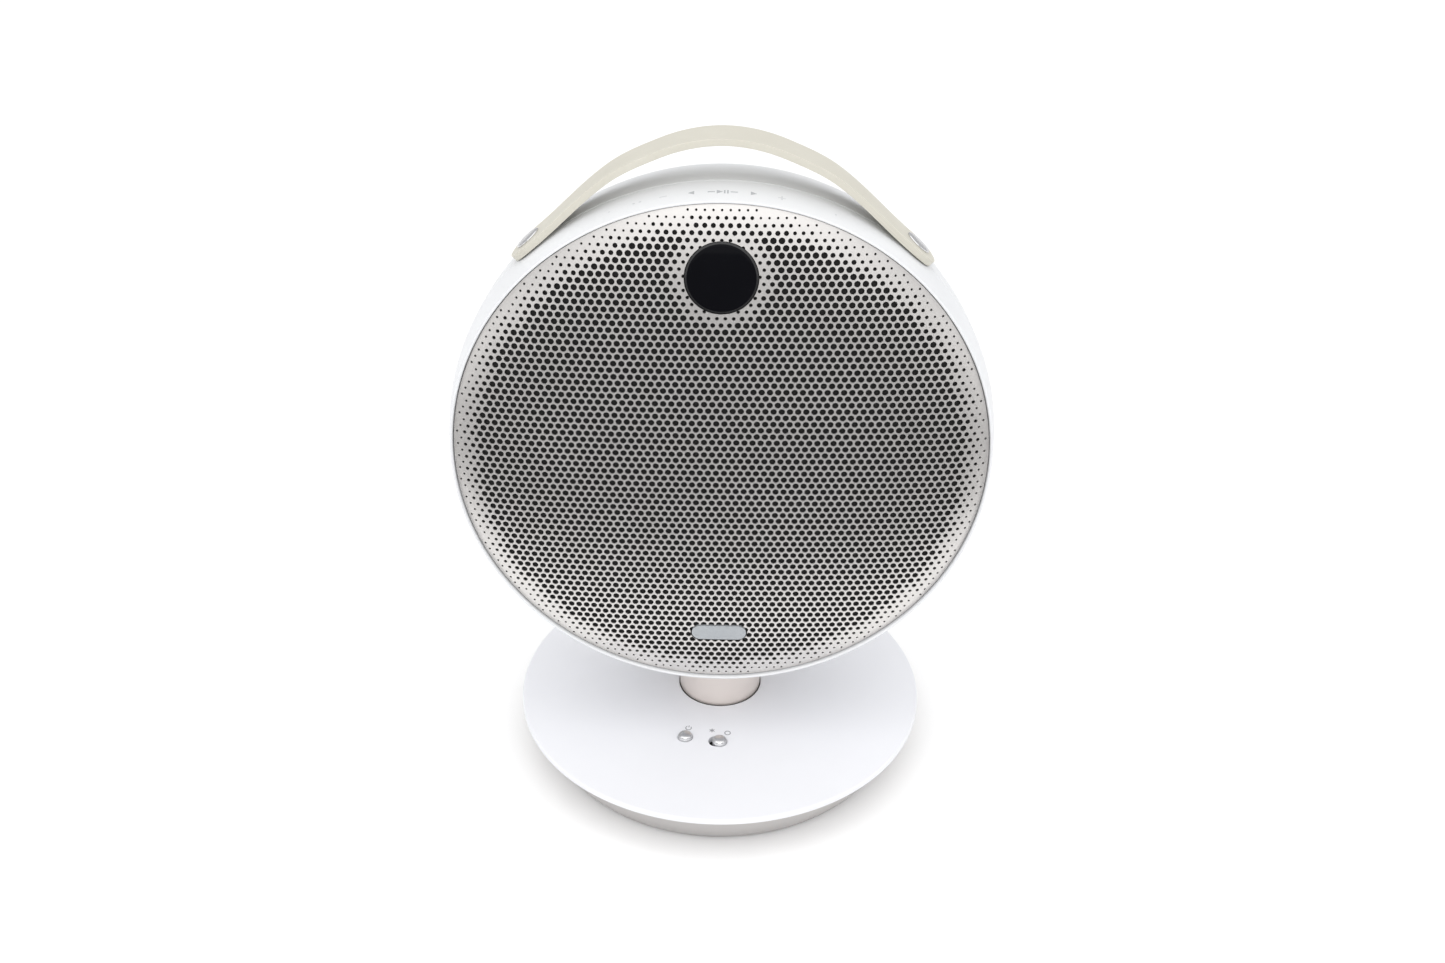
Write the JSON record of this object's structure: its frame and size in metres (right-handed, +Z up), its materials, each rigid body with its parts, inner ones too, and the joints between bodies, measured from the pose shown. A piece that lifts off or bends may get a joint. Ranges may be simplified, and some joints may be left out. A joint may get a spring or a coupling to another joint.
{
  "type": "smart speaker",
  "caption": "Round smart speaker with a domed metal grille, glossy status window and carrying strap, on a swivelling neck and a weighted round base with a power button and slide switch.",
  "frame": {"origin": "centre of the round base on the surface it stands on", "axes": "+Z up, the grille faces -Y, +X is to the right seen from the front"},
  "size_m": [0.245, 0.202, 0.3202],
  "materials": {
    "white_shell": "satin moulded",
    "base_white": "matte paint",
    "base_grey": "satin moulded",
    "dark_plastic": "matte moulded",
    "grille_metal": "champagne silver, satin",
    "acoustic_cloth": "fine black weave",
    "window_gloss": "gloss",
    "badge_metal": "fine bead-blasted",
    "champagne_metal": "satin anodised",
    "cap_metal": "turned, polished",
    "knob_metal": "turned, satin",
    "strap_leather": "smooth, sealed edges",
    "rubber": "matte",
    "steel": "zinc plated",
    "cast": "painted",
    "cast_alloy": "cast",
    "ferrite": "ground",
    "paper": "pressed fibre",
    "spider_cloth": "impregnated weave",
    "board": "solder mask",
    "copper": "wound wire",
    "silk": "coated silk"
  },
  "bodies": {
    "base": {"base_top_plate": "base_white", "base_housing": "base_grey", "base_bottom_cover": "dark_plastic", "foot_ring": "rubber", "ballast_ring": "cast", "base_board": "board", "power_switch": "dark_plastic", "slide_switch": "steel", "inlet_board": "board", "power_inlet": "steel", "swivel_bush": "dark_plastic", "base_screws": "steel", "board_screws": "steel", "cable_socket": "dark_plastic", "neck_cable": "rubber"},
    "button": {"power_button": "knob_metal", "button_plunger": "dark_plastic"},
    "slider": {"mode_knob": "knob_metal", "slider_carrier": "dark_plastic"},
    "head": {"front_ring": "white_shell", "rear_shell": "white_shell", "front_grille": "grille_metal", "grille_cloth": "acoustic_cloth", "grille_gasket": "rubber", "status_window": "window_gloss", "window_holder": "dark_plastic", "window_board": "board", "badge_plate": "badge_metal", "front_baffle": "dark_plastic", "baffle_screws": "steel", "woofer_frame": "cast_alloy", "woofer_surround": "rubber", "woofer_spider": "spider_cloth", "woofer_top_plate": "steel", "woofer_magnet": "ferrite", "woofer_yoke": "steel", "woofer_screws": "steel", "tweeter_plates": "dark_plastic", "tweeter_magnets": "ferrite", "tweeter_domes": "silk", "main_board": "board", "processor_shield": "steel", "heat_sink": "cast_alloy", "capacitors": "dark_plastic", "touch_board": "board", "neck_tube": "champagne_metal", "swivel_retainer": "steel", "swivel_washer": "dark_plastic", "neck_bracket": "cast_alloy", "neck_flange": "steel", "neck_screws": "steel", "neck_connector": "dark_plastic", "head_loom": "rubber", "strap": "strap_leather", "strap_caps": "cap_metal", "strap_nuts": "steel"},
    "cone": {"woofer_cone": "paper", "dust_cap": "paper", "voice_coil": "copper"}
  },
  "joints": [
    {"name": "head_swivel", "type": "hinge", "parent": "base", "child": "head", "pos_m": [0, 0, 0.024], "axis": [0, 0, 1], "range_deg": [-55, 35]},
    {"name": "power_press", "type": "slide", "parent": "base", "child": "button", "axis": [0, 0, -1], "range_m": [0, 0.0008], "stiffness_N_per_m": 2500, "springref_m": -0.0004},
    {"name": "mode_slide", "type": "slide", "parent": "base", "child": "slider", "axis": [0.9848, -0.1736, 0], "range_m": [-0.0017, 0]},
    {"name": "cone_travel", "type": "slide", "parent": "head", "child": "cone", "axis": [0, -1, 0], "range_m": [-0.003, 0.003], "stiffness_N_per_m": 2200}
  ]
}
